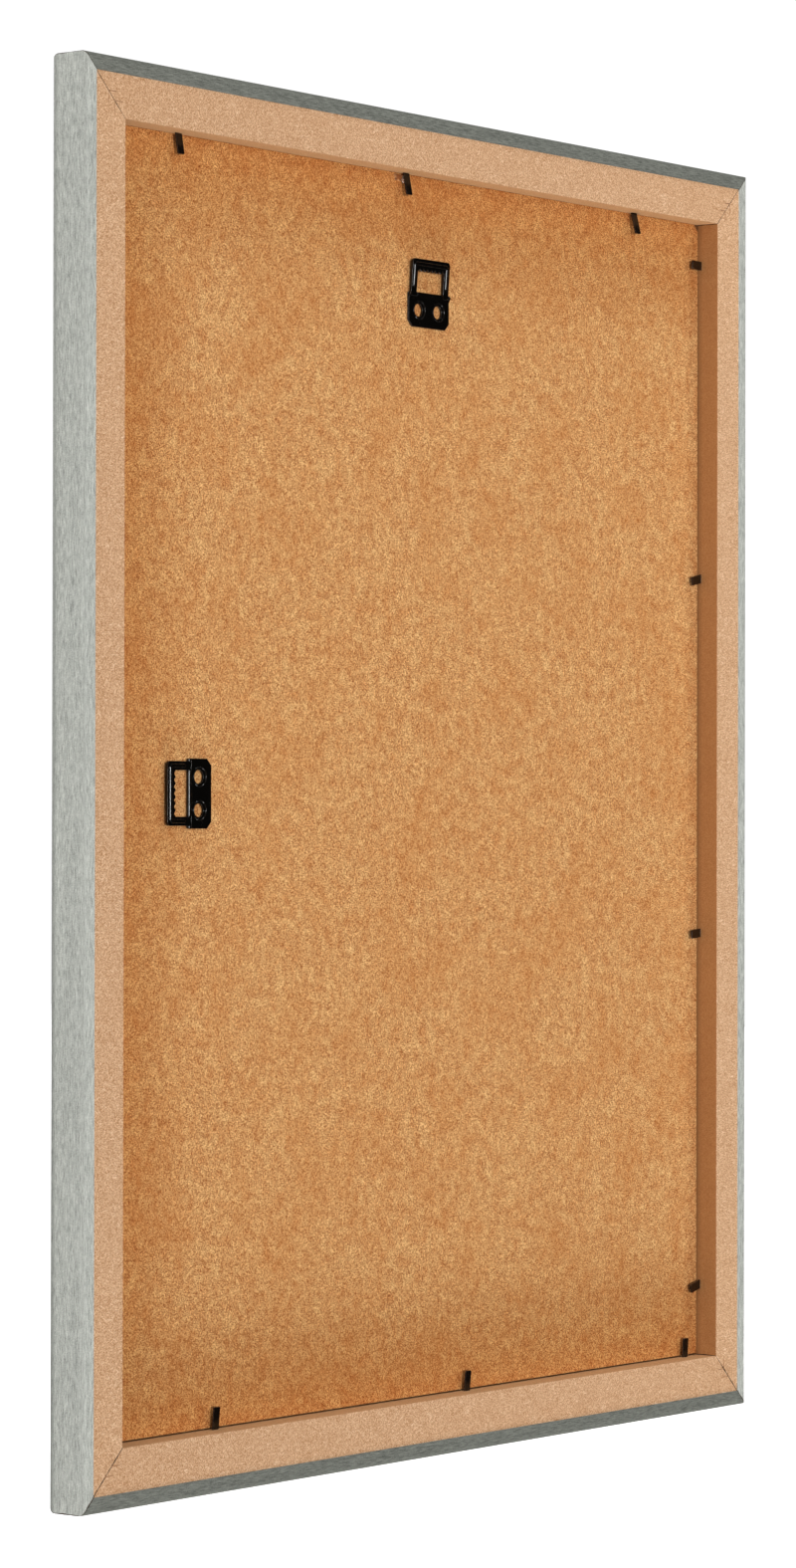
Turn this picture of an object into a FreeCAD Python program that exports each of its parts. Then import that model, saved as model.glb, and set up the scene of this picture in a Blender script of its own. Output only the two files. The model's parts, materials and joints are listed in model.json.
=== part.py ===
import FreeCAD
import Part

import math
import os
from collections import namedtuple

# A wrapped picture frame for hanging either way up, seen and fitted out from its back.
# X runs along the width, Z is up, the front faces -Y and the back faces +Y.
# The origin is the middle of the moulding. Left and right are as seen from the back,
# so left is +X. All lengths are in millimetres and all angles in degrees.

# Picture and moulding
picture_w = 400.0
picture_h = 500.0
picture_play = 1.0
moulding_back_w = 23.2
moulding_depth = 19.0
lip_overlap = 5.0
lip_depth = 3.1
front_outer_r = 5.5
back_outer_r = 1.6
sight_edge_r = 1.0
foil_t = 0.25
foil_strip_w = 6.4

# Stack in the rebate
glazing_t = 2.0
sheet_t = 0.3
board_t = 3.0
glazing_play = 1.0
board_play = 0.4
board_rise = 0.3

# V-shaped nails across the mitres, two in each, at shares of the bare band's width
v_nail_leg = 4.6
v_nail_t = 0.35
v_nail_len = 10.0
v_nail_sunk = 0.2
v_nail_half_angle = 45.0
v_nail_place_shares = (0.41, 0.62)

# Flexible points: a tang driven into the rebate wall and a tab that bends out of it.
# Places run along each side, counterclockwise as seen from the back, as shares of half
# the rebate's length there. Each stands out of the wall as far as it wasn't driven in, its
# tilt stands its tab off the board, and its skew swings it along the wall.
point_w = 3.8
point_t = 0.55
point_tip_chamfer = 0.4
point_root_chamfer_share = 0.65
point_gap = 0.05
tang_len = 7.0
tang_taper_len = 2.4
point_place_shares = {
    "top": (-0.736, 0.077, 0.796),
    "left": (-0.894, -0.341, 0.287, 0.908),
    "bottom": (-0.677, 0.137, 0.939),
    "right": (-0.875, -0.254, 0.373, 0.927),
}
point_outs = {
    "top": (9.5, 9.2, 8.3),
    "left": (8.3, 8.3, 8.3, 8.3),
    "bottom": (8.9, 8.5, 8.4),
    "right": (8.3, 8.3, 8.3, 8.3),
}
point_lifts = {"top": 1.9, "left": 1.9, "bottom": 1.9, "right": 1.5}
point_tilts = {
    "top": (14.0, 11.0, 10.0),
    "left": (8.0, 6.0, 7.0, 6.0),
    "bottom": (5.0, 5.6, 3.6),
    "right": (5.0, 7.0, 6.0, 6.0),
}
point_skews = {
    "top": (0.0, 0.0, 0.0),
    "left": (0.0, 0.0, 0.0, 0.0),
    "bottom": (0.0, 0.0, 0.0),
    "right": (-11.0, -4.0, -11.0, 0.0),
}

# Hangers: a folded plate that holds a toothed loop by its bar, one for each way up.
# Each fold's setback is from the rebate wall that its loop points to.
portrait_setback = 47.8
portrait_shift = -1.5
landscape_setback = 48.5
landscape_shift = 3.7
plate_w = 27.2
plate_len = 14.4
plate_sheet_t = 0.4
plate_slit = 0.1
plate_far_chamfer = 2.6
plate_near_chamfer = 0.6
fold_slope = 28.0
fold_bend_r = 1.2
arm_slot_len = 1.7
arm_gap = 0.2

# Toothed loop
loop_w = 25.0
loop_reach = 13.6
loop_t = 0.9
loop_corner_r = 1.6
loop_bar_r = 0.45
loop_bar_gap = 0.05
loop_bar_past = 0.8
loop_arm_w = 3.5
loop_tilt = 4.5
toothed_bar_w = 4.1
tooth_depth = 1.1
tooth_root_r = 0.35
notch_count = 7

# Raised bead along the loop's arms and toothed bar
bead_w = 1.5
bead_h = 0.42
bead_foot = 0.2
bead_root = 2.6
bead_corner_cut = 0.8

# Tubular rivets that hold each plate, with the board's own core left inside them
rivet_pitch = 13.0
rivet_from_fold = 7.4
rivet_mouth_r = 3.85
rivet_bore_r = 2.7
rivet_wall = 0.5
rivet_rim = 0.1
rivet_bite = 2.2
rivet_core_drop = 0.4
rivet_gap = 0.02

# How far cutting tools run past a face, the shortest edge drawn, and the sweep's rule
# that bends meet in a mitre
overrun = 2.0
tiny = 1e-6
mitred_bends = 1

# Sizes worked out from those above
rebate_w = picture_w + 2 * picture_play
rebate_h = picture_h + 2 * picture_play
outer_w = rebate_w + 2 * moulding_back_w
outer_h = rebate_h + 2 * moulding_back_w
moulding_face_w = moulding_back_w + lip_overlap
front_y = -moulding_depth / 2
back_y = moulding_depth / 2
core_back_y = back_y - foil_t
rebate_floor_y = front_y + lip_depth
sheet_y = rebate_floor_y + glazing_t
board_y = sheet_y + sheet_t
board_back_y = board_y + board_t
fold_inner_r = loop_bar_r + loop_bar_gap
fold_r = fold_inner_r + plate_sheet_t
plate_t = 2 * plate_sheet_t + plate_slit
rivet_neck_h = plate_sheet_t + plate_slit / 2
bead_r = (bead_w * bead_w / 4 + bead_h * bead_h) / (2 * bead_h)

# Each side is made as the top one and turned about Y. outer_reach and wall_reach are how
# far its outer side and its rebate wall stand from the middle of the frame.
Side = namedtuple("Side", "turn length outer_reach wall_reach half_rebate")
sides = {
    "top": Side(0.0, outer_w, outer_h / 2, rebate_h / 2, rebate_w / 2),
    "left": Side(90.0, outer_h, outer_w / 2, rebate_w / 2, rebate_h / 2),
    "bottom": Side(180.0, outer_w, outer_h / 2, rebate_h / 2, rebate_w / 2),
    "right": Side(270.0, outer_h, outer_w / 2, rebate_w / 2, rebate_h / 2),
}
FlexiblePoint = namedtuple("FlexiblePoint", "place out lift tilt skew")
rail_names = {
    "top": "rail_top",
    "left": "stile_left",
    "bottom": "rail_bottom",
    "right": "stile_right",
}


def vec(x=0.0, y=0.0, z=0.0):
    return FreeCAD.Vector(x, y, z)


def turned(shape, angle):
    copy = shape.copy()
    copy.rotate(vec(), vec(0, 1, 0), angle)
    return copy


def rounded_face(corners, place):
    """The face inside corners (p, q, radius), with an arc at each radius, where
    place(p, q) gives the point in space."""
    flat = [vec(p, q) for p, q, _ in corners]
    stations = []
    for index, (_, _, radius) in enumerate(corners):
        corner = flat[index]
        if radius <= 0:
            stations.append((corner, corner, corner))
            continue
        to_former = (flat[index - 1] - corner).normalize()
        to_next = (flat[(index + 1) % len(flat)] - corner).normalize()
        half_angle = to_former.getAngle(to_next) / 2
        tangent_len = radius / math.tan(half_angle)
        middle_len = radius / math.sin(half_angle) - radius
        middle_way = (to_former + to_next).normalize()
        start = corner + to_former * tangent_len
        middle = corner + middle_way * middle_len
        end = corner + to_next * tangent_len
        stations.append((start, middle, end))
    edges = []
    for index, (start, middle, end) in enumerate(stations):
        former_end = stations[index - 1][2]
        if former_end.distanceToPoint(start) > tiny:
            line = Part.makeLine(place(former_end.x, former_end.y), place(start.x, start.y))
            edges.append(line)
        if start.distanceToPoint(end) > tiny:
            through = [place(point.x, point.y) for point in (start, middle, end)]
            edges.append(Part.Arc(*through).toShape())
    return Part.Face(Part.Wire(edges))


def core_section():
    """The rebated profile of the moulding inside its foil, as (distance in from the
    outer side, y, corner radius)."""
    sight_edge = moulding_face_w - foil_t
    return [
        (moulding_back_w, core_back_y, 0),
        (foil_t, core_back_y, back_outer_r - foil_t),
        (foil_t, front_y + foil_t, front_outer_r - foil_t),
        (sight_edge, front_y + foil_t, sight_edge_r - foil_t),
        (sight_edge, rebate_floor_y, 0),
        (moulding_back_w, rebate_floor_y, 0),
    ]


def foil_section():
    """The foil around that profile, from its strip on the back to the lip's inner edge."""
    sight_edge = moulding_face_w - foil_t
    return [
        (foil_strip_w, back_y, 0),
        (0, back_y, back_outer_r),
        (0, front_y, front_outer_r),
        (moulding_face_w, front_y, sight_edge_r),
        (moulding_face_w, rebate_floor_y, 0),
        (sight_edge, rebate_floor_y, 0),
        (sight_edge, front_y + foil_t, sight_edge_r - foil_t),
        (foil_t, front_y + foil_t, front_outer_r - foil_t),
        (foil_t, core_back_y, back_outer_r - foil_t),
        (foil_strip_w, core_back_y, 0),
    ]


def mitred(section, side):
    """A section run along X on the top side and cut at 45 degrees at both ends."""
    start_x = -side.length / 2
    profile = rounded_face(section, lambda u, y: vec(start_x, y, side.outer_reach - u))
    run = profile.extrude(vec(side.length))
    long_half = side.length / 2 + overrun
    short_half = side.length / 2 - moulding_face_w - overrun
    high_z = side.outer_reach + overrun
    low_z = side.outer_reach - moulding_face_w - overrun
    plan = rounded_face([
        (-long_half, high_z, 0),
        (long_half, high_z, 0),
        (short_half, low_z, 0),
        (-short_half, low_z, 0),
    ], lambda x, z: vec(x, front_y - overrun, z))
    return run.common(plan.extrude(vec(0, moulding_depth + 2 * overrun)))


def v_nail(sign_x, sign_z, inset, top_y):
    """One V-shaped nail across the mitre of an outer corner, its point outwards and its legs
    along both sides, from its buried end up to top_y. inset is how far its point lies in
    from both outer sides."""
    half_angle = math.radians(v_nail_half_angle)
    leg_in = v_nail_leg * math.cos(half_angle)
    leg_out = v_nail_leg * math.sin(half_angle)
    wall_in = v_nail_t / math.sin(half_angle)
    low_y = core_back_y - v_nail_sunk - v_nail_len
    apex = vec(sign_x * (outer_w / 2 - inset), low_y, sign_z * (outer_h / 2 - inset))
    inward = vec(-sign_x, 0, -sign_z).normalize()
    across = vec(0, 1, 0).cross(inward)
    face = rounded_face([
        (0, 0, 0),
        (leg_in, leg_out, 0),
        (leg_in + wall_in, leg_out, 0),
        (wall_in, 0, 0),
        (leg_in + wall_in, -leg_out, 0),
        (leg_in, -leg_out, 0),
    ], lambda p, q: apex + inward * p + across * q)
    return face.extrude(vec(0, top_y - low_y))


def v_nails(top_y):
    bare_w = moulding_back_w - foil_strip_w
    insets = [foil_strip_w + share * bare_w for share in v_nail_place_shares]
    signs = (1, -1)
    nails = [v_nail(sx, sz, inset, top_y) for sx in signs for sz in signs for inset in insets]
    return Part.makeCompound(nails)


def point_strip(point, side, low_y, outline):
    """A strip of a point's thickness with an outline of (across, out of the wall), skewed
    about the middle of its root."""
    skew = math.radians(point.skew)
    root = vec(point.place, low_y, side.wall_reach)
    across = vec(math.cos(skew), 0, math.sin(skew))
    outwards = vec(math.sin(skew), 0, -math.cos(skew))
    corners = [(p, q, 0) for p, q in outline]
    face = rounded_face(corners, lambda p, q: root + across * p + outwards * q)
    return face.extrude(vec(0, point_t))


def point_tab(point, side):
    """The tab of a flexible point on the top side, turned off the board about its root,
    where its chamfered end clears the rebate wall at any angle."""
    half_w = point_w / 2
    half_t = point_t / 2
    tip_w = half_w - point_tip_chamfer
    tip_start = point.out - point_tip_chamfer
    axis_y = board_back_y + point.lift
    axis_z = side.wall_reach - point_gap - half_t
    root_z = axis_z + half_t
    root_chamfer = half_t * point_root_chamfer_share
    low_z = side.wall_reach - point.out - overrun
    strip = point_strip(point, side, axis_y - half_t, [
        (-half_w, -overrun),
        (half_w, -overrun),
        (half_w, tip_start),
        (tip_w, point.out),
        (-tip_w, point.out),
        (-half_w, tip_start),
    ])
    reach = point.out + half_w
    edge = rounded_face([
        (axis_y - half_t, root_z - root_chamfer, 0),
        (axis_y - half_t + root_chamfer, root_z, 0),
        (axis_y + half_t - root_chamfer, root_z, 0),
        (axis_y + half_t, root_z - root_chamfer, 0),
        (axis_y + half_t, low_z, 0),
        (axis_y - half_t, low_z, 0),
    ], lambda y, z: vec(point.place - reach, y, z))
    tab = strip.common(edge.extrude(vec(2 * reach)))
    tab.rotate(vec(point.place, axis_y, axis_z), vec(1, 0, 0), point.tilt)
    return tab


def point_tang(point, side):
    """The pointed tang of a flexible point, driven into the rebate wall of the top side."""
    half_w = point_w / 2
    low_y = board_back_y + point.lift - point_t / 2
    shoulder = tang_len - tang_taper_len
    strip = point_strip(point, side, low_y, [
        (-half_w, overrun),
        (-half_w, -shoulder),
        (0, -tang_len),
        (half_w, -shoulder),
        (half_w, overrun),
    ])
    reach = tang_len + half_w
    corner = vec(point.place - reach, low_y - overrun, side.wall_reach)
    return strip.common(Part.makeBox(2 * reach, point_t + 2 * overrun, reach, corner))


def frame_side(name, nail_slots):
    """The nodes of one side: its core, its foil, the points' tangs and their tabs."""
    side = sides[name]
    lift = point_lifts[name]
    settings = zip(point_place_shares[name], point_outs[name], point_tilts[name], point_skews[name])
    points = [
        FlexiblePoint(share * side.half_rebate, out, lift, tilt, skew)
        for share, out, tilt, skew in settings
    ]
    tangs = Part.makeCompound([point_tang(point, side) for point in points])
    core = turned(mitred(core_section(), side).cut(tangs), side.turn)
    nodes = {
        rail_names[name]: core.cut(nail_slots),
        "foil_" + name: turned(mitred(foil_section(), side), side.turn),
        "point_tangs_" + name: turned(tangs, side.turn),
    }
    for index, point in enumerate(points):
        nodes[f"point_{name}_{index + 1}"] = turned(point_tab(point, side), side.turn)
    return nodes


def panel(width, height, low_y, thickness, rise=0.0):
    return Part.makeBox(width, thickness, height, vec(-width / 2, low_y, rise - height / 2))


def around_rivet(outline, x, z):
    """A solid turned from (radius, height above the board) about the rivet's own axis."""
    corners = [(r, h, 0) for r, h in outline]
    face = rounded_face(corners, lambda r, h: vec(x + r, board_back_y + h, z))
    return face.revolve(vec(x, 0, z), vec(0, 1, 0), 360)


def rivet_outside(gap):
    """The outside of a rivet, from its dished mouth down to its end in the board, grown
    by a gap."""
    tube_r = rivet_bore_r + rivet_wall + gap
    return [
        (rivet_mouth_r + gap, plate_t),
        (tube_r, rivet_neck_h),
        (tube_r, -rivet_bite - gap),
    ]


def rivet_inside(gap):
    """The inside of a rivet, from its end in the board up to its mouth, less a gap."""
    bore_r = rivet_bore_r - gap
    return [
        (bore_r, -rivet_bite - gap),
        (bore_r, rivet_neck_h),
        (rivet_mouth_r - rivet_rim, plate_t),
    ]


def rivet(x, z):
    return around_rivet(rivet_outside(0) + rivet_inside(0), x, z)


def rivet_groove(x, z):
    """The ring that a rivet cuts into the board, which leaves a sunk core inside it."""
    tube_r, low = rivet_outside(rivet_gap)[-1]
    bore_r = rivet_inside(rivet_gap)[0][0]
    ring = [(tube_r, overrun), (tube_r, low), (bore_r, low), (bore_r, -rivet_core_drop)]
    return around_rivet(ring + [(0, -rivet_core_drop), (0, overrun)], x, z)


def rivet_hole(x, z):
    """The hole that a rivet fills in its plate: straight below, dished in the upper ply."""
    mouth, neck, _ = rivet_outside(rivet_gap)
    above = [(0, plate_t + overrun), (mouth[0], plate_t + overrun)]
    below = [(neck[0], -overrun), (0, -overrun)]
    return around_rivet(above + [mouth, neck] + below, x, z)


def plate_section(fold_z):
    """The folded sheet of a hanger plate: lower ply, curl round the loop's bar, slope and
    upper ply. Corners are (height above the board, z, radius)."""
    slope = math.radians(fold_slope)
    far_z = fold_z - plate_len
    axis_z = fold_z - fold_r
    upper_low = plate_sheet_t + plate_slit

    def peak(radius):
        rise = math.cos(slope) + (1 + math.sin(slope)) * math.tan(slope)
        return fold_r + radius * rise

    def slope_end(radius, height):
        start_z = axis_z - radius * math.sin(slope)
        start_height = fold_r + radius * math.cos(slope)
        return start_z - (start_height - height) / math.tan(slope)

    return [
        (0, far_z, 0),
        (0, fold_z, fold_r),
        (peak(fold_r), fold_z, fold_r),
        (plate_t, slope_end(fold_r, plate_t), fold_bend_r),
        (plate_t, far_z, 0),
        (upper_low, far_z, 0),
        (upper_low, slope_end(fold_inner_r, upper_low), fold_bend_r + plate_sheet_t),
        (peak(fold_inner_r), fold_z - plate_sheet_t, fold_inner_r),
        (plate_sheet_t, fold_z - plate_sheet_t, fold_inner_r),
        (plate_sheet_t, far_z, 0),
    ]


def hanger_plate(shift, fold_z, rivet_places):
    """The folded plate of a hanger whose loop points to the top of the frame."""
    half_w = plate_w / 2
    far_z = fold_z - plate_len
    start = vec(shift - half_w, board_back_y)
    section = rounded_face(plate_section(fold_z), lambda h, z: start + vec(0, h, z))
    plan = rounded_face([
        (-half_w, far_z + plate_far_chamfer, 0),
        (-half_w, fold_z - plate_near_chamfer, 0),
        (-half_w + plate_near_chamfer, fold_z, 0),
        (half_w - plate_near_chamfer, fold_z, 0),
        (half_w, fold_z - plate_near_chamfer, 0),
        (half_w, far_z + plate_far_chamfer, 0),
        (half_w - plate_far_chamfer, far_z, 0),
        (-half_w + plate_far_chamfer, far_z, 0),
    ], lambda x, z: vec(shift + x, board_back_y - overrun, z))
    plate = section.extrude(vec(plate_w)).common(plan.extrude(vec(0, 2 * (fold_r + overrun))))
    slot_w = loop_arm_w + 2 * arm_gap
    slot_low = board_back_y + plate_sheet_t
    for direction in (-1, 1):
        arm_x = shift + direction * (loop_w - loop_arm_w) / 2
        corner = vec(arm_x - slot_w / 2, slot_low, fold_z - arm_slot_len)
        slot = Part.makeBox(slot_w, 2 * fold_r + overrun, arm_slot_len + overrun, corner)
        plate = plate.cut(slot)
    for x, z in rivet_places:
        plate = plate.cut(rivet_hole(x, z))
    return plate


def bead_height(offset):
    """How high the bead's round top stands at an offset from its middle line."""
    return bead_h - bead_r + math.sqrt(bead_r * bead_r - offset * offset)


def loop_bead(shift, top_y, root_z, run_z):
    """The bead along one arm, the toothed bar and the other arm, with domed ends."""
    half_w = bead_w / 2
    arm_x = (loop_w - loop_arm_w) / 2
    path = Part.makePolygon([
        vec(shift - arm_x, top_y, root_z),
        vec(shift - arm_x, top_y, run_z - bead_corner_cut),
        vec(shift - arm_x + bead_corner_cut, top_y, run_z),
        vec(shift + arm_x - bead_corner_cut, top_y, run_z),
        vec(shift + arm_x, top_y, run_z - bead_corner_cut),
        vec(shift + arm_x, top_y, root_z),
    ])
    start = vec(shift - arm_x, top_y, root_z)
    lens = Part.Wire([
        Part.makeLine(start + vec(-half_w), start + vec(-half_w, -bead_foot)),
        Part.makeLine(start + vec(-half_w, -bead_foot), start + vec(half_w, -bead_foot)),
        Part.makeLine(start + vec(half_w, -bead_foot), start + vec(half_w)),
        Part.Arc(start + vec(half_w), start + vec(0, bead_h), start + vec(-half_w)).toShape(),
    ])
    bead = path.makePipeShell([lens], True, False, mitred_bends)
    for x in (-arm_x, arm_x):
        end = vec(shift + x, top_y, root_z)
        crown = end + vec(0, bead_h)
        shoulder = end + vec(half_w / 2, bead_height(half_w / 2))
        half_lens = Part.Wire([
            Part.makeLine(crown, end + vec(0, -bead_foot)),
            Part.makeLine(end + vec(0, -bead_foot), end + vec(half_w, -bead_foot)),
            Part.makeLine(end + vec(half_w, -bead_foot), end + vec(half_w)),
            Part.Arc(end + vec(half_w), shoulder, crown).toShape(),
        ])
        bead = bead.fuse(Part.Face(half_lens).revolve(end, vec(0, 1, 0), 360))
    return bead


def hanger_loop(shift, fold_z):
    """The toothed loop that swings on its bar in the fold, pointing to the top."""
    half_w = loop_w / 2
    axis_y = board_back_y + fold_r
    axis_z = fold_z - fold_r
    end_z = fold_z + loop_reach
    low_y = axis_y - loop_t / 2
    blank = rounded_face([
        (-half_w, axis_z, 0),
        (-half_w, end_z, loop_corner_r),
        (half_w, end_z, loop_corner_r),
        (half_w, axis_z, 0),
    ], lambda x, z: vec(shift + x, low_y, z))
    window_half_w = half_w - loop_arm_w
    notch_w = 2 * window_half_w / notch_count
    root_z = end_z - toothed_bar_w
    tip_z = root_z - tooth_depth
    window = [(-window_half_w, axis_z - overrun, 0), (-window_half_w, tip_z, 0)]
    for notch in range(notch_count):
        left_x = -window_half_w + notch * notch_w
        window.append((left_x + notch_w / 2, root_z, tooth_root_r))
        if notch < notch_count - 1:
            window.append((left_x + notch_w, tip_z, 0))
    window += [(window_half_w, tip_z, 0), (window_half_w, axis_z - overrun, 0)]
    opening = rounded_face(window, lambda x, z: vec(shift + x, low_y - overrun, z))
    loop = blank.extrude(vec(0, loop_t)).cut(opening.extrude(vec(0, loop_t + 2 * overrun)))
    bar_start = vec(shift - half_w - loop_bar_past, axis_y, axis_z)
    bar = Part.makeCylinder(loop_bar_r, loop_w + 2 * loop_bar_past, bar_start, vec(1, 0, 0))
    bead = loop_bead(shift, low_y + loop_t, fold_z + bead_root, end_z - toothed_bar_w / 2)
    loop = loop.fuse(bar).fuse(bead).removeSplitter()
    loop.rotate(vec(shift, axis_y, axis_z), vec(-1, 0, 0), loop_tilt)
    return loop


def hanger(name, side, setback, shift):
    """The nodes of one hanger whose loop points to a side, and its grooves in the board."""
    fold_z = side.wall_reach - setback
    rivet_z = fold_z - rivet_from_fold
    rivet_places = [(shift - rivet_pitch / 2, rivet_z), (shift + rivet_pitch / 2, rivet_z)]
    rivets = Part.makeCompound([rivet(x, z) for x, z in rivet_places])
    grooves = Part.makeCompound([rivet_groove(x, z) for x, z in rivet_places])
    nodes = {
        "hanger_plate_" + name: turned(hanger_plate(shift, fold_z, rivet_places), side.turn),
        "hanger_loop_" + name: turned(hanger_loop(shift, fold_z), side.turn),
        "hanger_rivets_" + name: turned(rivets, side.turn),
    }
    return nodes, turned(grooves, side.turn)


def build():
    nail_slots = v_nails(core_back_y + overrun)
    nodes = {"v_nails": v_nails(core_back_y - v_nail_sunk)}
    for name in sides:
        nodes.update(frame_side(name, nail_slots))
    glazing_w = rebate_w - 2 * glazing_play
    glazing_h = rebate_h - 2 * glazing_play
    nodes["glazing"] = panel(glazing_w, glazing_h, rebate_floor_y, glazing_t)
    nodes["picture_sheet"] = panel(picture_w, picture_h, sheet_y, sheet_t)
    board_w = rebate_w - 2 * board_play
    board_h = rebate_h - 2 * board_play
    board = panel(board_w, board_h, board_y, board_t, board_rise)
    top, left = sides["top"], sides["left"]
    portrait, portrait_grooves = hanger("portrait", top, portrait_setback, portrait_shift)
    landscape, landscape_grooves = hanger("landscape", left, landscape_setback, landscape_shift)
    nodes["back_panel"] = board.cut(portrait_grooves).cut(landscape_grooves)
    nodes.update(portrait)
    nodes.update(landscape)
    return nodes


os.makedirs("parts", exist_ok=True)
for node_name, node_shape in build().items():
    solids = len(node_shape.Solids)
    print(f"{node_name}: {solids} solid(s), valid {node_shape.isValid()}, {node_shape.Volume:.1f} mm3")
    node_shape.exportStep(f"parts/{node_name}.step")
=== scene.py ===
"""Looks of the wrapped picture frame, seen from its back.

Everything is in metres. Z is up, the back faces +Y, and left as seen from the back is +X.
"""
import json
import math

import bpy
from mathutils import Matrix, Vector


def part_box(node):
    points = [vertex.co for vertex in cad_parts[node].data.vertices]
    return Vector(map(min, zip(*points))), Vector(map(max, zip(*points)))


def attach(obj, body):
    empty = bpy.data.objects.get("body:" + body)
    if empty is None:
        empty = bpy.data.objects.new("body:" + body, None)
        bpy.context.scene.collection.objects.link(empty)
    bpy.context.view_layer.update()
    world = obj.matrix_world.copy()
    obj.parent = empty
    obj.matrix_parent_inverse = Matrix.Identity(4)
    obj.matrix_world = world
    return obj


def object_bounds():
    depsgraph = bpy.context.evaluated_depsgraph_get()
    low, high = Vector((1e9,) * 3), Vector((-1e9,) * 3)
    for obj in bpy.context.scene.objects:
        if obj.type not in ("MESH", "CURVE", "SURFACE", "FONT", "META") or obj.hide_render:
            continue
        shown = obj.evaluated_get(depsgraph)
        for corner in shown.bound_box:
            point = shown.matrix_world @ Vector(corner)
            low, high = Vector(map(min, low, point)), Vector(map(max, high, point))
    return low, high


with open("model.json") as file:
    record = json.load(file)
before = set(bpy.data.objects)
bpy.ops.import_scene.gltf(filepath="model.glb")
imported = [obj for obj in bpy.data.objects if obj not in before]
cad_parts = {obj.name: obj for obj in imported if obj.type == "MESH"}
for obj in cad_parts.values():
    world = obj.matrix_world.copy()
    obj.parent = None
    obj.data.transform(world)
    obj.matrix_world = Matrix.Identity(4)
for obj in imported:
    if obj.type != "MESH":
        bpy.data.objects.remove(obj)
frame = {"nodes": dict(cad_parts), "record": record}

cad_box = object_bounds()

mm = 0.001
low_corner, high_corner = cad_box

# Sizes that the masks follow, from the nodes' own boxes
_, board_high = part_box("back_panel")
outer_half_w = high_corner.x
outer_half_h = high_corner.z
rebate_half_w = board_high.x
rebate_half_h = board_high.z

# Turn in radians that sets the grain askew to every face
askew_turn = (0.7, 0.4, 1.1)

# Palette, as sRGB numbers from 0 to 255
mdf_light = (239, 200, 163)
mdf_base = (205, 161, 120)
mdf_dark = (160, 109, 63)
mdf_fibre = (244, 212, 178)
# Tints of the rebate's walls by the way they face: painted shade and bounce light
mdf_wall_shade_upright = (193, 168, 132)
mdf_wall_shade_level = (231, 228, 213)
# Painted shadow at the foot of the uprights' walls
mdf_foot_shadow = (84, 48, 22)
joint_line = (52, 30, 14)
# The foil in two copies for how light falls on its grain: lit on the uprights, painted shade on
# the level sides
foil_upright_lit = (175, 177, 170)
foil_level_shaded = (112, 114, 107)
board_light = (255, 211, 145)
board_dark = (144, 73, 15)
board_edge = (184, 108, 44)
# Painted shade and bounce light towards the board's edges
board_rim_shade = (238, 220, 199)
board_mottle_tint = (231, 205, 188)
# Dark brown: painted shade beside things on the board, its dark top right corner and the chip's
# dark mottle
shade_and_chip_brown = (70, 40, 22)
corner_red = (158, 74, 44)
chip_brown = (188, 130, 76)
# Near white, partly as a painted glint on the split chip
chip_pale_and_glint = (240, 230, 216)
steel_black = (4, 3, 2)
steel_worn = (16, 13, 11)
# Painted highlight along the edges of the black steel
steel_edge_highlight = (74, 70, 68)
strip_black = (14, 8, 5)
strip_worn = (40, 27, 20)
# Painted highlight along the edges of the points
strip_edge_highlight = (104, 78, 64)
nail_dust = (150, 104, 70)
nail_grey = (186, 142, 108)
# Painted light that lifts the shade in the uprights' nail cracks
nail_lit_upright = (238, 198, 160)
paper_white = (238, 236, 230)
floor_white = (250, 250, 250)

# Glass, as linear colours: its body, and the light that it lets through
glass_body = (0.97, 0.99, 0.98, 1.0)
glass_light = (0.92, 0.94, 0.93, 1.0)

# Lips of the rivets: a closed profile of (radius, height above the rivet), in millimetres
lip_profile = ((3.5, -0.05), (3.84, 0.26), (3.94, 0.22), (3.98, -0.05))
lip_steps = 56

# Torn chip, in millimetres: how far its corner is right of the point's left side and below
# the top wall, outlines of (x, z) from that corner, each flake's thickness, its top's share
# of its foot, and the shares of the thickness by which the top's rim waves up and down
chip_from_point = 2.6
chip_from_wall = 0.4
chip_brown_outline = (
    (1.2, 0.0), (2.6, 0.1), (4.4, -0.1), (6.2, 0.0), (6.6, -1.0), (5.9, -2.0),
    (6.4, -2.9), (4.6, -2.6), (3.0, -3.0), (1.4, -2.4), (0.9, -1.2),
)
chip_brown_thickness = 0.9
chip_brown_shrink = 0.72
chip_pale_outline = (
    (-0.3, -0.1), (1.1, -0.2), (1.5, -1.3), (1.0, -2.7), (0.3, -3.6), (-0.3, -2.4),
)
chip_pale_thickness = 1.3
chip_pale_shrink = 0.5
flake_rim_level = 0.7
flake_rim_wave = 0.3
flake_rim_step = 5.0

# Area lights aimed at the middle: place in metres, width and height in metres, watts
lights = {
    "key": ((4.2, 7.0, 0.0), (1.2, 1.2), 455.0),
    "fill": ((3.6, 0.5, 0.4), (1.6, 1.6), 58.0),
    "right": ((-1.7, 1.9, 1.0), (1.0, 1.0), 20.0),
    "front": ((-1.2, -4.6, 0.8), (1.6, 1.6), 170.0),
    "top": ((0.2, 0.25, 3.0), (2.0, 0.4), 68.0),
    "low": ((0.2, 0.25, -3.0), (2.0, 0.4), 112.0),
}
unmirrored_light = "right"

# Light from all round: its strength on surfaces, in their reflections and to the camera
soft_strength = 0.05
mirrored_strength = 0.02
seen_strength = 1.05
floor_half = 3.5

# Camera: place in metres, turn in degrees about X, Y and Z, lens and sensor in millimetres
camera_place = (1.5893, 1.20675, -0.01318)
camera_turn = (90.407, -0.111, 127.542)
camera_lens = 111.31
camera_sensor_w = 36.0


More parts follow.
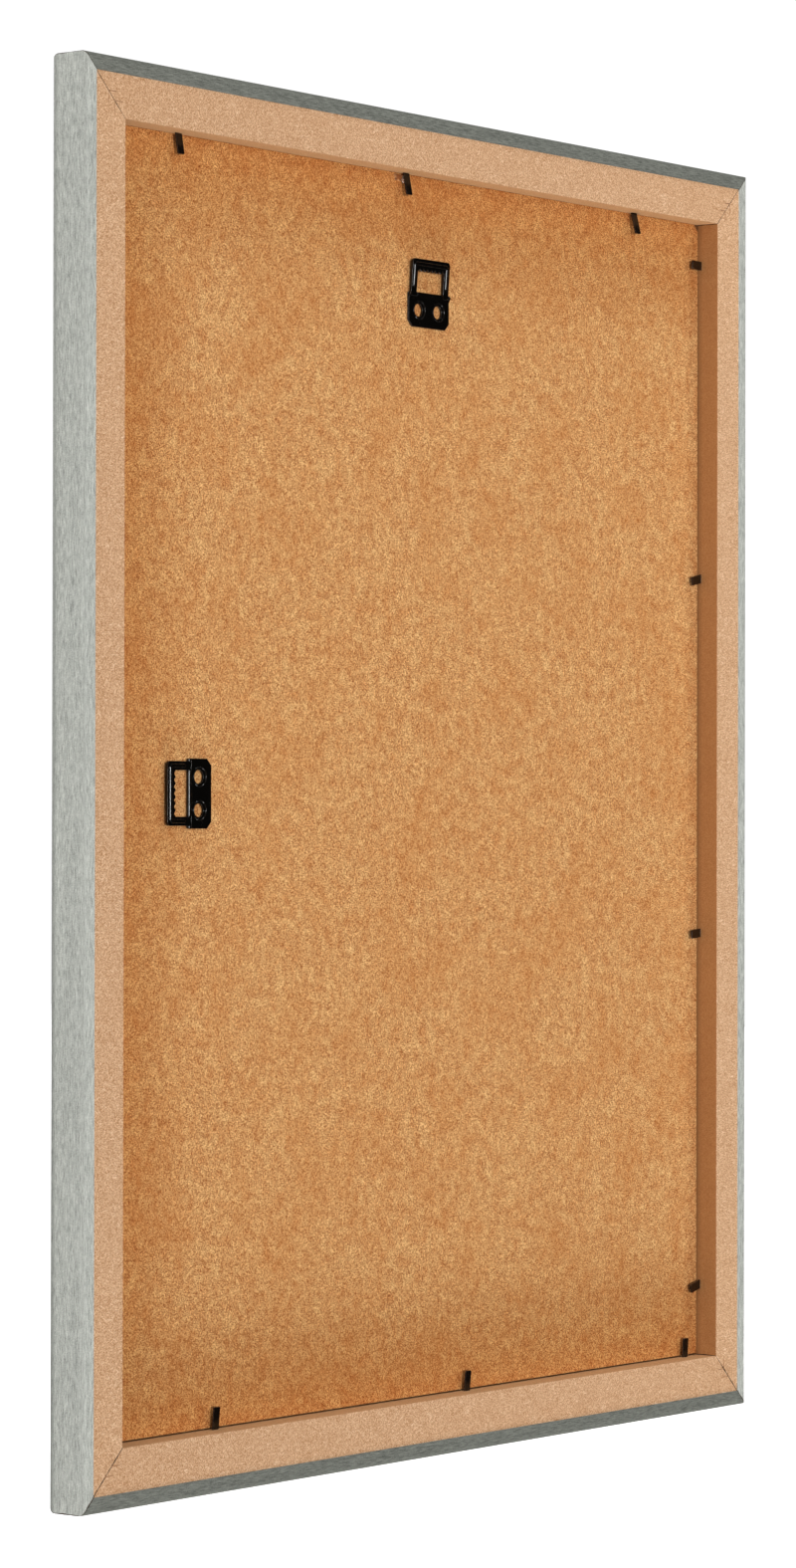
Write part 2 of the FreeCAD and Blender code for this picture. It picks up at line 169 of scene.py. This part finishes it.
def linear(colour):
    """An sRGB colour from 0 to 255 as Blender's linear RGBA."""
    def channel(value):
        share = value / 255
        return share / 12.92 if share <= 0.04045 else ((share + 0.055) / 1.055) ** 2.4
    return (*(channel(value) for value in colour), 1.0)


def dimmed(colour, share):
    """The linear colour times a share, up to white."""
    return (*(min(1.0, channel * share) for channel in linear(colour)[:3]), 1.0)


class Shader:
    """A node material being made. Each call adds nodes and gives the output socket."""

    def __init__(self, name):
        self.material = bpy.data.materials.new(name)
        self.material.use_nodes = True
        self.nodes = self.material.node_tree.nodes
        self.links = self.material.node_tree.links
        self.surface = self.nodes["Principled BSDF"]
        coordinates = self.nodes.new("ShaderNodeTexCoord")
        self.place = coordinates.outputs["Object"]
        self.facing = coordinates.outputs["Normal"]
        self.askew = self.stretched((1.0, 1.0, 1.0), askew_turn)

    def fill(self, socket, value):
        if isinstance(value, bpy.types.NodeSocket):
            self.links.new(value, socket)
        else:
            socket.default_value = value

    def add(self, kind, inputs, output=0, **settings):
        node = self.nodes.new(kind)
        for name, value in settings.items():
            setattr(node, name, value)
        for name, value in inputs.items():
            self.fill(node.inputs[name], value)
        return node.outputs[output]

    def math(self, operation, first, second=0.0, third=0.0):
        inputs = {0: first, 1: second, 2: third}
        return self.add("ShaderNodeMath", inputs, operation=operation)

    def stretched(self, scale, turn=(0.0, 0.0, 0.0), vector=None):
        inputs = {"Vector": vector or self.place, "Scale": scale, "Rotation": turn}
        return self.add("ShaderNodeMapping", inputs)

    def noise(self, scale, detail=2.0, roughness=0.5, vector=None, output=0):
        """Noise with about so many grains in a metre, or in a unit of the vector."""
        inputs = {"Vector": vector or self.askew, "Scale": scale}
        inputs.update({"Detail": detail, "Roughness": roughness})
        return self.add("ShaderNodeTexNoise", inputs, output=output)

    def range(self, value, low, high, to_low=0.0, to_high=1.0, smooth=False):
        inputs = {"Value": value, "From Min": low, "From Max": high}
        inputs.update({"To Min": to_low, "To Max": to_high})
        kind = "SMOOTHSTEP" if smooth else "LINEAR"
        return self.add("ShaderNodeMapRange", inputs, interpolation_type=kind)

    def mix(self, share, first, second, blend="MIX"):
        inputs = {0: share, 6: first, 7: second}
        return self.add("ShaderNodeMix", inputs, output=2, data_type="RGBA", blend_type=blend)

    def axes(self, vector):
        node = self.nodes.new("ShaderNodeSeparateXYZ")
        self.fill(node.inputs[0], vector)
        return node.outputs

    def bump(self, height, distance, strength=1.0):
        inputs = {"Height": height, "Distance": distance, "Strength": strength}
        return self.add("ShaderNodeBump", inputs)

    def painted_falloff(self, tone, leftwards, upwards):
        """The tone grown brighter by these shares from the middle to the left and the top: a
        painted light falloff.
        """
        x, _, z = self.axes(self.place)
        level = self.math("MULTIPLY_ADD", x, leftwards / outer_half_w, 1.0)
        share = self.math("MULTIPLY_ADD", z, upwards / outer_half_h, level)
        inputs = {0: tone, "Scale": share}
        return self.add("ShaderNodeVectorMath", inputs, operation="SCALE")

    def finish(self, **sockets):
        for name, value in sockets.items():
            self.fill(self.surface.inputs[name.replace("_", " ")], value)
        return self.material


def insets(shader):
    """How far in a place lies from the nearer upright and the nearer level outer side."""
    x, _, z = shader.axes(shader.place)
    in_x = shader.math("SUBTRACT", outer_half_w, shader.math("ABSOLUTE", x))
    in_z = shader.math("SUBTRACT", outer_half_h, shader.math("ABSOLUTE", z))
    return in_x, in_z


def joint_mask(shader, half_line=0.2 * mm):
    """1 along the plane where two mitred sides meet, 0 away from it. The joints are a
    little more open at the bottom."""
    in_x, in_z = insets(shader)
    _, _, z = shader.axes(shader.place)
    away = shader.math("ABSOLUTE", shader.math("SUBTRACT", in_x, in_z))
    ragged = shader.noise(220.0, detail=3.0)
    width = shader.range(ragged, 0.3, 0.7, 0.35 * half_line, 1.5 * half_line)
    opened = shader.range(z, -outer_half_h, 0.0, 1.7, 1.0)
    return shader.math("LESS_THAN", away, shader.math("MULTIPLY", width, opened))


def fibre_mask(shader, angle, length, width, keep):
    """Sparse fibres that lie about one way across the back, bent a little by a slow noise.
    A higher keep leaves fewer."""
    bent = shader.noise(60.0, detail=1.0, output=1)
    slack = (6 * mm, 6 * mm, 6 * mm)
    bend = {0: bent, 1: slack, 2: shader.place}
    warped = shader.add("ShaderNodeVectorMath", bend, operation="MULTIPLY_ADD")
    lying = shader.stretched((1.0, 1.0, 1.0), (0.0, angle, 0.0), warped)
    drawn = shader.stretched((1 / length, 1 / width, 1 / width), vector=lying)
    streak = shader.noise(1.0, detail=0.0, vector=drawn)
    return shader.range(streak, keep, keep + 0.04, smooth=True)


def strewn(shader, tone, colour, angles, strength, length, width, keep):
    """The tone with fibres of a colour strewn over it at a few angles."""
    for angle in angles:
        fibres = fibre_mask(shader, angle, length, width, keep)
        tone = shader.mix(shader.math("MULTIPLY", fibres, strength), tone, linear(colour))
    return tone


def spot_mask(shader, x, z, radius):
    """1 inside a ragged spot on the back at x and z, 0 outside it."""
    across = shader.add("ShaderNodeVectorMath", {0: shader.place, 1: (x, 0.0, z)},
                        operation="SUBTRACT")
    flat = shader.add("ShaderNodeVectorMath", {0: across, 1: (1.0, 0.0, 1.0)},
                      operation="MULTIPLY")
    away = shader.add("ShaderNodeVectorMath", {0: flat}, output=1, operation="LENGTH")
    ragged = shader.noise(500.0, detail=3.0)
    reach = shader.math("MULTIPLY_ADD", ragged, radius, 0.5 * radius)
    inside = shader.math("SUBTRACT", reach, away)
    return shader.range(inside, -0.15 * radius, 0.15 * radius, smooth=True)


def mdf():
    """Bare fibreboard: fine pale grain with light fibres and dark dashes. The rebate's walls
    are plainer and tinted by the way they face, as painted shade and bounce light, the
    uprights' walls have a painted shadow at their foot, the level sides are a little darker,
    and a painted light falloff runs across it."""
    shader = Shader("bare_fibreboard")
    speckle = shader.noise(1900.0, detail=1.0, roughness=0.7)
    cloud = shader.noise(140.0, detail=3.0, roughness=0.6)
    tone = shader.mix(shader.range(speckle, 0.33, 0.67), linear(mdf_dark), linear(mdf_light))
    tone = shader.mix(0.2, tone, linear(mdf_base))
    tone = shader.mix(shader.range(cloud, 0.35, 0.7, 0.0, 0.15), tone, linear(mdf_dark))
    tone = strewn(shader, tone, mdf_fibre, angles=(0.5, 2.1, 2.9), strength=0.8,
                  length=3.6 * mm, width=0.3 * mm, keep=0.75)
    tone = strewn(shader, tone, mdf_dark, angles=(0.1, 1.4), strength=0.4,
                  length=1.6 * mm, width=0.3 * mm, keep=0.74)
    specks = shader.noise(900.0, detail=1.0, roughness=0.4)
    dark = shader.range(specks, 0.68, 0.74, 0.0, 0.6, smooth=True)
    tone = shader.mix(dark, tone, linear(mdf_dark))
    facing_x, _, facing_z = shader.axes(shader.facing)
    _, height, _ = shader.axes(shader.place)
    # Painted shadow at the foot of the uprights' walls, beside the board
    foot_low, foot_high = board_high.y + 0.3 * mm, board_high.y + 2.6 * mm
    foot_shadow = shader.range(height, foot_low, foot_high, 0.5, 0.0)
    foot_shadow = shader.math("MULTIPLY", foot_shadow, shader.math("ABSOLUTE", facing_x))
    tone = shader.mix(foot_shadow, tone, linear(mdf_foot_shadow))
    # Painted shade and bounce light: walls tinted by the way they face
    for facing, tint in ((facing_x, mdf_wall_shade_upright), (facing_z, mdf_wall_shade_level)):
        side_on = shader.range(shader.math("ABSOLUTE", facing), 0.4, 0.6)
        tone = shader.mix(shader.math("MULTIPLY", side_on, 0.5), tone, linear(mdf_base))
        tone = shader.mix(side_on, tone, linear(tint), blend="MULTIPLY")
    in_x, in_z = insets(shader)
    level_side = shader.math("LESS_THAN", in_z, in_x)
    tone = shader.mix(shader.math("MULTIPLY", level_side, 0.07), tone, linear(mdf_dark))
    # Painted light falloff across the frame
    tone = shader.painted_falloff(tone, -0.05, 0.015)
    tone = shader.mix(joint_mask(shader), tone, linear(joint_line))
    grain = shader.math("MULTIPLY_ADD", cloud, 0.3, speckle)
    return shader.finish(
        Base_Color=tone,
        Roughness=shader.range(speckle, 0.3, 0.7, 0.78, 0.95),
        Specular_IOR_Level=0.3,
        Normal=shader.bump(grain, distance=0.09 * mm, strength=0.5),
    )


def foil(name, along, base):
    """The silver foil of one side, with its brushed grain along a unit vector, a base colour
    that is a lit copy or a painted-shade copy for how light falls on that grain, and painted
    shade on its rounded edges.
    """
    shader = Shader(name)
    long_scale, cross_scale = 260.0, 3400.0
    scale = tuple(long_scale if axis else cross_scale for axis in along)
    streak = shader.noise(1.0, detail=2.0, roughness=0.6, vector=shader.stretched(scale))
    flake = shader.noise(2200.0, detail=1.0, roughness=0.7)
    band = tuple(12.0 if axis else 420.0 for axis in along)
    drift = shader.noise(1.0, detail=1.0, vector=shader.stretched(band))
    light = dimmed(base, 1.5)
    dark = dimmed(base, 0.56)
    mixed = shader.math("MULTIPLY_ADD", streak, 0.62, shader.math("MULTIPLY", flake, 0.3))
    mixed = shader.math("MULTIPLY_ADD", drift, 0.08, mixed)
    tone = shader.mix(shader.range(mixed, 0.36, 0.64), dark, light)
    # Painted shade on the rounded edges, where the side turns into the back strip
    facing_x, facing_y, facing_z = shader.axes(shader.facing)
    outwards = shader.math("MAXIMUM", shader.math("ABSOLUTE", facing_x),
                           shader.math("ABSOLUTE", facing_z))
    rounded_edge_shade = shader.math("MULTIPLY", outwards, shader.math("ABSOLUTE", facing_y))
    tone = shader.mix(shader.range(rounded_edge_shade, 0.1, 0.5, 0.0, 0.5), tone, dark)
    tone = shader.mix(joint_mask(shader), tone, linear(joint_line))
    tangent = shader.add("ShaderNodeVectorMath", {0: shader.facing, 1: along},
                         operation="CROSS_PRODUCT")
    return shader.finish(
        Base_Color=tone,
        Metallic=0.05,
        Roughness=shader.range(streak, 0.3, 0.7, 0.5, 0.62),
        Specular_IOR_Level=0.03,
        Anisotropic=0.6,
        Tangent=tangent,
        Normal=shader.bump(mixed, distance=0.04 * mm, strength=0.5),
    )


def hardboard():
    """Brown hardboard: grainy and mottled, with painted shade and bounce light that make it
    warmer towards three of its edges, painted shade beside what lies on it, a painted light
    falloff across it, a dark spot in its top right corner and a reddish one in its top left."""
    shader = Shader("hardboard")
    wide = shader.stretched((0.8, 1.0, 1.0), askew_turn)
    speckle = shader.noise(2100.0, detail=1.0, roughness=0.7, vector=wide)
    grit = shader.noise(950.0, detail=1.0, roughness=0.6, vector=wide)
    mottle = shader.noise(200.0, detail=3.0, roughness=0.6)
    cloud = shader.noise(32.0, detail=2.0, roughness=0.5)
    mixed = shader.math("MULTIPLY_ADD", speckle, 0.75, shader.math("MULTIPLY", grit, 0.25))
    tone = shader.mix(shader.range(mixed, 0.35, 0.65), linear(board_dark), linear(board_light))
    mottled = shader.range(mottle, 0.3, 0.7)
    tone = shader.mix(mottled, tone, linear(board_mottle_tint), blend="MULTIPLY")
    tone = shader.mix(shader.range(cloud, 0.42, 0.68, 0.0, 0.25), tone, linear(board_edge))
    tone = strewn(shader, tone, board_light, angles=(0.9, 2.4), strength=0.3,
                  length=2.0 * mm, width=0.3 * mm, keep=0.74)
    tone = strewn(shader, tone, board_dark, angles=(0.2, 1.6), strength=0.45,
                  length=1.3 * mm, width=0.4 * mm, keep=0.72)
    x, _, z = shader.axes(shader.place)
    from_side = shader.math("SUBTRACT", rebate_half_w, x)
    from_end = shader.math("SUBTRACT", rebate_half_h, shader.math("ABSOLUTE", z))
    from_edge = shader.math("MINIMUM", from_side, from_end)
    # Painted shade and bounce light, warmer and darker towards the board's left, top and bottom
    # edges
    rim_w = 60 * mm
    near_edge_shade = shader.range(from_edge, 0.0, rim_w, 1.0, 0.0, smooth=True)
    tone = shader.mix(near_edge_shade, tone, linear(board_rim_shade), blend="MULTIPLY")
    # Painted light falloff across the board
    tone = shader.painted_falloff(tone, -0.02, 0.02)
    # Painted shade beside what lies on the board, from an occlusion node, weaker next to the
    # top and bottom walls
    reach = {"Distance": 3 * mm}
    near = shader.add("ShaderNodeAmbientOcclusion", reach, output=1, samples=8)
    contact_shade = shader.range(near, 0.15, 0.62, 0.85, 0.0)
    weak_shade_from, full_shade_from = 0.4 * mm, 2.0 * mm
    shade_kept = shader.range(from_end, weak_shade_from, full_shade_from, 0.2, 1.0)
    contact_shade = shader.math("MULTIPLY", contact_shade, shade_kept)
    tone = shader.mix(contact_shade, tone, linear(shade_and_chip_brown))
    dark_corner = spot_mask(shader, -rebate_half_w, rebate_half_h, radius=2.6 * mm)
    tone = shader.mix(shader.math("MULTIPLY", dark_corner, 0.85), tone, linear(shade_and_chip_brown))
    red_corner_x, red_corner_z = rebate_half_w - 3 * mm, rebate_half_h - 1 * mm
    red_corner = spot_mask(shader, red_corner_x, red_corner_z, radius=3.6 * mm)
    tone = shader.mix(shader.math("MULTIPLY", red_corner, 0.5), tone, linear(corner_red))
    return shader.finish(
        Base_Color=tone,
        Roughness=shader.range(speckle, 0.3, 0.7, 0.6, 0.85),
        Specular_IOR_Level=0.2,
        Normal=shader.bump(mixed, distance=0.1 * mm, strength=0.6),
    )


def black_steel(name, base, worn_base, highlight_base, gloss=0.35):
    """Semi-gloss black coating, worn a little lighter in places, with a painted highlight along
    its edges, which are rounded."""
    shader = Shader(name)
    rounded = shader.add("ShaderNodeBevel", {"Radius": 0.25 * mm}, samples=8)
    flat = shader.nodes.new("ShaderNodeNewGeometry").outputs["Normal"]
    alike = shader.add("ShaderNodeVectorMath", {0: rounded, 1: flat}, output=1,
                       operation="DOT_PRODUCT")
    fine = shader.noise(900.0, detail=3.0)
    wear = shader.noise(260.0, detail=4.0, roughness=0.7)
    worn = shader.range(wear, 0.62, 0.72, 0.0, 0.4)
    # Painted highlight along the edges, where the rounded normal turns away from the flat one
    edge = shader.range(alike, 0.9, 0.97, 1.0, 0.0)
    edge_highlight = shader.math("MULTIPLY", edge, shader.range(fine, 0.35, 0.6, 0.2, 0.8))
    tone = shader.mix(worn, linear(base), linear(worn_base))
    dents = {"Height": fine, "Distance": 0.03 * mm, "Strength": 0.3, "Normal": rounded}
    return shader.finish(
        Base_Color=shader.mix(edge_highlight, tone, linear(highlight_base)),
        Roughness=shader.range(wear, 0.3, 0.7, 0.17, 0.28),
        Specular_IOR_Level=gloss,
        Normal=shader.add("ShaderNodeBump", dents),
    )


def nail_steel():
    """Nails sunk in their cracks: dusty steel in the level sides, and pale in the upright ones,
    as painted light that lifts the shade in those cracks."""
    shader = Shader("nail_steel")
    wear = shader.noise(700.0, detail=3.0)
    tone = shader.mix(shader.range(wear, 0.35, 0.65), linear(nail_dust), linear(nail_grey))
    in_x, in_z = insets(shader)
    upright_side = shader.math("LESS_THAN", in_x, in_z)
    # Painted light in the uprights' cracks: a pale colour that lifts their shade
    tone = shader.mix(upright_side, tone, linear(nail_lit_upright))
    return shader.finish(
        Base_Color=tone,
        Metallic=0.1,
        Roughness=shader.range(wear, 0.3, 0.7, 0.5, 0.75),
        Normal=shader.bump(wear, distance=0.05 * mm),
    )


def chip_wood():
    """Torn board, mottled brown on its sides and darker on top."""
    shader = Shader("torn_chip")
    torn = shader.noise(900.0, detail=4.0, roughness=0.7)
    tone = shader.mix(shader.range(torn, 0.35, 0.65), linear(shade_and_chip_brown), linear(chip_brown))
    _, facing_y, _ = shader.axes(shader.facing)
    face = shader.range(facing_y, 0.75, 0.9)
    tone = shader.mix(shader.math("MULTIPLY", face, 0.6), tone, linear(board_dark))
    rough = shader.bump(torn, distance=0.1 * mm)
    return shader.finish(Base_Color=tone, Roughness=0.8, Normal=rough)


def chip_split():
    """The pale inside of fibreboard where a chip was split off, made near white partly as a
    painted glint.
    """
    shader = Shader("split_chip")
    torn = shader.noise(700.0, detail=3.0, roughness=0.6)
    # Pale split fibreboard, near white partly as a painted glint
    tone = shader.mix(shader.range(torn, 0.35, 0.65), linear(board_edge), linear(chip_pale_and_glint))
    rough = shader.bump(torn, distance=0.1 * mm)
    return shader.finish(Base_Color=tone, Roughness=0.5, Normal=rough)


def glass():
    """Clear glazing, a little smeared, that lets the light through to the sheet behind."""
    shader = Shader("clear_glazing")
    smear = shader.noise(25.0, detail=4.0, roughness=0.6)
    glazed = shader.finish(
        Base_Color=glass_body,
        Roughness=shader.range(smear, 0.4, 0.8, 0.01, 0.05),
        IOR=1.5,
        Transmission_Weight=1.0,
    )
    shadow_ray = shader.nodes.new("ShaderNodeLightPath").outputs["Is Shadow Ray"]
    see_through = shader.add("ShaderNodeBsdfTransparent", {"Color": glass_light})
    inputs = {0: shadow_ray, 1: shader.surface.outputs[0], 2: see_through}
    either = shader.add("ShaderNodeMixShader", inputs)
    shader.fill(shader.nodes["Material Output"].inputs["Surface"], either)
    return glazed


def paper():
    """Blank off-white paper with fine fibres."""
    shader = Shader("blank_paper")
    fibres = shader.noise(600.0, detail=4.0, roughness=0.7)
    shade = dimmed(paper_white, 0.94)
    return shader.finish(
        Base_Color=shader.mix(shader.range(fibres, 0.3, 0.7), shade, linear(paper_white)),
        Roughness=shader.range(fibres, 0.3, 0.7, 0.8, 0.95),
        Normal=shader.bump(fibres, distance=0.03 * mm, strength=0.3),
    )


def floor_paint():
    """Matt pale paint that glows, so that the floor looks as bright as what is behind it."""
    shader = Shader("pale_floor")
    drift = shader.noise(3.0, detail=2.0)
    shade = dimmed(floor_white, 0.985)
    return shader.finish(
        Base_Color=shader.mix(shader.range(drift, 0.3, 0.7), shade, linear(floor_white)),
        Roughness=0.9,
        Emission_Color=linear(floor_white),
        Emission_Strength=0.95,
    )


def dress():
    """Gives each node its material."""
    # The level sides' foil is a painted-shade copy and the uprights' a lit copy
    level = foil("foil_grain_level_shaded", (1.0, 0.0, 0.0), foil_level_shaded)
    upright = foil("foil_grain_upright_lit", (0.0, 0.0, 1.0), foil_upright_lit)
    looks = {
        "mdf": mdf(),
        "blackened_steel": black_steel("blackened_steel", steel_black, steel_worn, steel_edge_highlight),
        "nail_steel": nail_steel(),
        "clear_glazing": glass(),
        "blank_paper": paper(),
        "hardboard": hardboard(),
    }
    own = {"foil_top": level, "foil_bottom": level, "foil_left": upright, "foil_right": upright}
    strip = black_steel("point_steel", strip_black, strip_worn, strip_edge_highlight)
    own.update({name: strip for name in frame["nodes"] if name.startswith("point_")})
    for row in frame["record"]["subparts"]:
        name = row["node"]
        look = own.get(name) or looks[row["material_slot"]]
        for slot in frame["nodes"][name].material_slots:
            slot.material = look


def added_piece(name, points, faces, look):
    """A piece that rides on the frame, made of points in millimetres and faces."""
    mesh = bpy.data.meshes.new(name)
    mesh.from_pydata([Vector(point) * mm for point in points], [], faces)
    mesh.materials.append(look)
    mesh.update()
    piece = bpy.data.objects.new(name, mesh)
    bpy.context.scene.collection.objects.link(piece)
    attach(piece, "frame")
    return piece


def ring_faces(steps, count):
    """The quads of a closed ring of closed profiles with so many points each."""
    faces = []
    for step in range(steps):
        here, there = step * count, (step + 1) % steps * count
        for index in range(count):
            other = (index + 1) % count
            faces.append((here + index, here + other, there + other, there + index))
    return faces


def rivet_lips(look):
    """The thin flared lip round the mouth of each rivet."""
    for name in ("portrait", "landscape"):
        low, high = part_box("hanger_rivets_" + name)
        middle = (low + high) / 2
        size = high - low
        # The box of two rivets is longer than it is wide by their pitch
        pitch = abs(size.x - size.z)
        way = Vector((1, 0, 0)) if size.x > size.z else Vector((0, 0, 1))
        for index, sign in enumerate((-1, 1)):
            centre = (middle + way * (sign * pitch / 2)) / mm
            top = high.y / mm
            points = []
            for step in range(lip_steps):
                angle = 2 * math.pi * step / lip_steps
                for radius, height in lip_profile:
                    x = centre.x + radius * math.cos(angle)
                    z = centre.z + radius * math.sin(angle)
                    points.append((x, top + height, z))
            faces = ring_faces(lip_steps, len(lip_profile))
            lip = added_piece(f"rivet_lip_{name}_{index + 1}", points, faces, look)
            for face in lip.data.polygons:
                face.use_smooth = True


def flake(name, outline, thickness, shrink, look):
    """A thin ragged flake on the board: an outline of (x, z) with a smaller top."""
    base_y = board_high.y / mm
    middle_x = sum(x for x, _ in outline) / len(outline)
    middle_z = sum(z for _, z in outline) / len(outline)
    points = [(x, base_y, z) for x, z in outline]
    for index, (x, z) in enumerate(outline):
        wave = flake_rim_wave * math.sin(flake_rim_step * index)
        height = thickness * (flake_rim_level + wave)
        top_x = middle_x + (x - middle_x) * shrink
        top_z = middle_z + (z - middle_z) * shrink
        points.append((top_x, base_y + height, top_z))
    count = len(outline)
    faces = [tuple(range(count))[::-1], tuple(range(count, 2 * count))]
    for index in range(count):
        other = (index + 1) % count
        faces.append((index, other, count + other, count + index))
    added_piece(name, points, faces, look)


def torn_chip():
    """The chip that the top side's middle point tore up, and its pale split end beside it."""
    _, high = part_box("point_top_2")
    corner_x = high.x / mm - chip_from_point
    corner_z = rebate_half_h / mm - chip_from_wall
    brown = [(corner_x + x, corner_z + z) for x, z in chip_brown_outline]
    pale = [(corner_x + x, corner_z + z) for x, z in chip_pale_outline]
    flake("chip_brown", brown, chip_brown_thickness, chip_brown_shrink, chip_wood())
    flake("chip_pale_and_glint", pale, chip_pale_thickness, chip_pale_shrink, chip_split())


def lay_floor():
    """A pale floor that is seen but doesn't light or mirror the object."""
    floor_z = low_corner.z
    ends = ((-1, -1), (1, -1), (1, 1), (-1, 1))
    mesh = bpy.data.meshes.new("floor")
    points = [(x * floor_half, y * floor_half, floor_z) for x, y in ends]
    mesh.from_pydata(points, [], [(0, 1, 2, 3)])
    mesh.materials.append(floor_paint())
    floor = bpy.data.objects.new("floor", mesh)
    bpy.context.scene.collection.objects.link(floor)
    floor.visible_glossy = False
    floor.visible_diffuse = False
    floor.visible_shadow = False


def light_all_round():
    """White light from every side, weak on the object and full behind it."""
    world = bpy.data.worlds.new("studio")
    bpy.context.scene.world = world
    world.use_nodes = True
    nodes = world.node_tree.nodes
    links = world.node_tree.links
    soft = nodes["Background"]
    mirrored = nodes.new("ShaderNodeBackground")
    seen = nodes.new("ShaderNodeBackground")
    strengths = (soft_strength, mirrored_strength, seen_strength)
    for light, strength in zip((soft, mirrored, seen), strengths):
        light.inputs["Color"].default_value = (1.0, 1.0, 1.0, 1.0)
        light.inputs["Strength"].default_value = strength
    path = nodes.new("ShaderNodeLightPath")
    last = soft
    for ray, light in (("Is Glossy Ray", mirrored), ("Is Camera Ray", seen)):
        either = nodes.new("ShaderNodeMixShader")
        links.new(path.outputs[ray], either.inputs[0])
        links.new(last.outputs[0], either.inputs[1])
        links.new(light.outputs[0], either.inputs[2])
        last = either
    links.new(last.outputs[0], nodes["World Output"].inputs["Surface"])


def area_lights():
    """One strong light before the back and to its left, and weaker ones from the left, the
    right, above and below and before the front."""
    for name, (place, size, power) in lights.items():
        lamp = bpy.data.lights.new(name, "AREA")
        lamp.shape = "RECTANGLE"
        lamp.size, lamp.size_y = size
        lamp.energy = power
        thing = bpy.data.objects.new(name, lamp)
        thing.location = place
        thing.rotation_euler = (-Vector(place)).to_track_quat("-Z", "Y").to_euler()
        thing.visible_glossy = name != unmirrored_light
        bpy.context.scene.collection.objects.link(thing)


def camera():
    """The camera of the photograph: its place, its aim and the lens that its frame needs."""
    lens = bpy.data.cameras.new("camera")
    lens.lens = camera_lens
    lens.sensor_width = camera_sensor_w
    thing = bpy.data.objects.new("camera", lens)
    thing.location = camera_place
    thing.rotation_euler = tuple(math.radians(angle) for angle in camera_turn)
    bpy.context.scene.collection.objects.link(thing)
    bpy.context.scene.camera = thing


dress()
lip_steel = black_steel("lip_steel", steel_worn, strip_worn, steel_edge_highlight, gloss=0.6)
rivet_lips(lip_steel)
torn_chip()
lay_floor()
light_all_round()
area_lights()
camera()
bpy.context.scene.view_settings.view_transform = "Standard"
